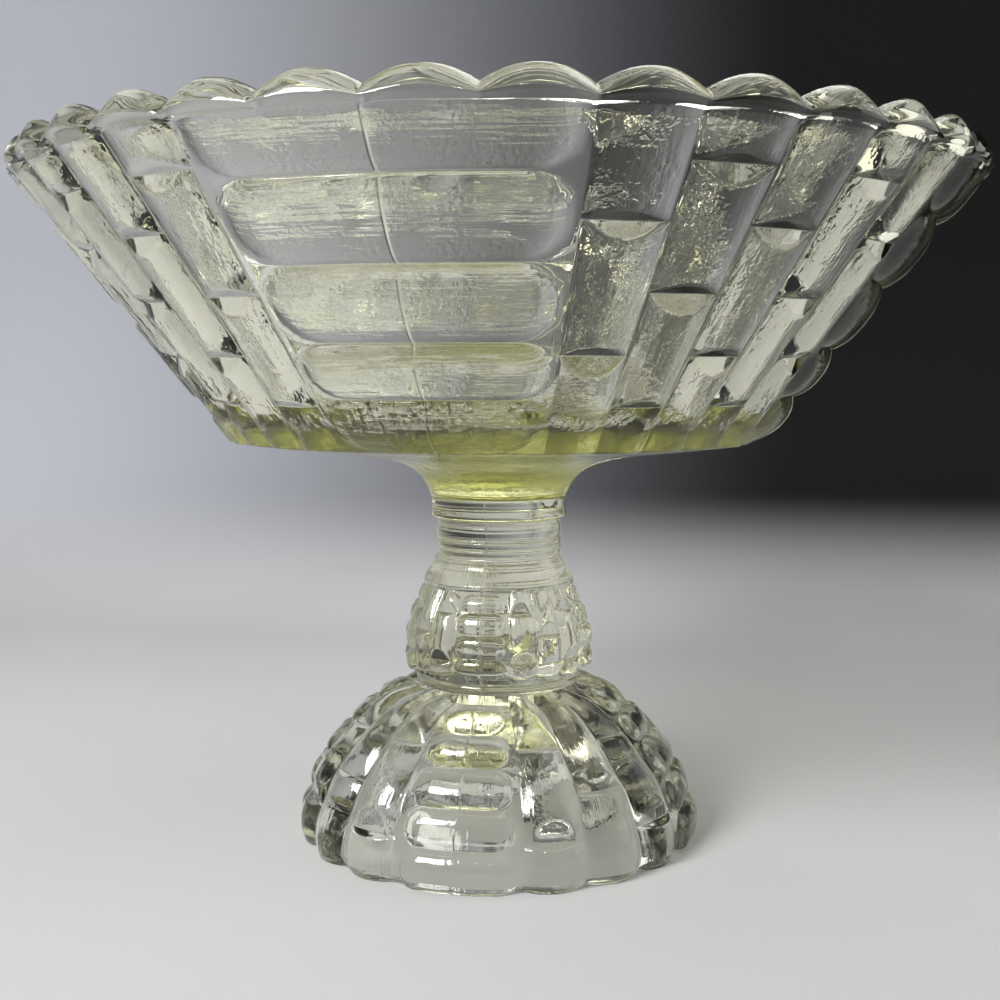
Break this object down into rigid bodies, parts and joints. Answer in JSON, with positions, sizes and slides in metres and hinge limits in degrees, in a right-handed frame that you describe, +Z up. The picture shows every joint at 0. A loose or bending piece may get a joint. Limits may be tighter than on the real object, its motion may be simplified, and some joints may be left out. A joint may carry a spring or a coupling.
{
  "type": "footed compote bowl",
  "caption": "Clear pressed glass compote: a scalloped conical bowl with a brick and log pattern on a ringed stem with a knop and a hollow domed foot.",
  "frame": {"origin": "centre of the foot's base ring, on the surface that the compote stands on", "axes": "+Z up along the stem; a panel of logs is centred on -Y"},
  "size_m": [0.242, 0.242, 0.1754],
  "materials": {
    "bowl_glass": "clear pressed glass, faint straw tint",
    "collar_glass": "clear pressed glass, faint straw tint",
    "stem_glass": "clear pressed glass, faint straw tint",
    "ring_glass": "clear pressed glass, faint straw tint",
    "foot_glass": "clear pressed glass, faint straw tint"
  },
  "bodies": {
    "root": {"bowl": "bowl_glass", "bowl_collar": "collar_glass", "stem": "stem_glass", "foot_collar": "ring_glass", "foot": "foot_glass"}
  },
  "joints": []
}
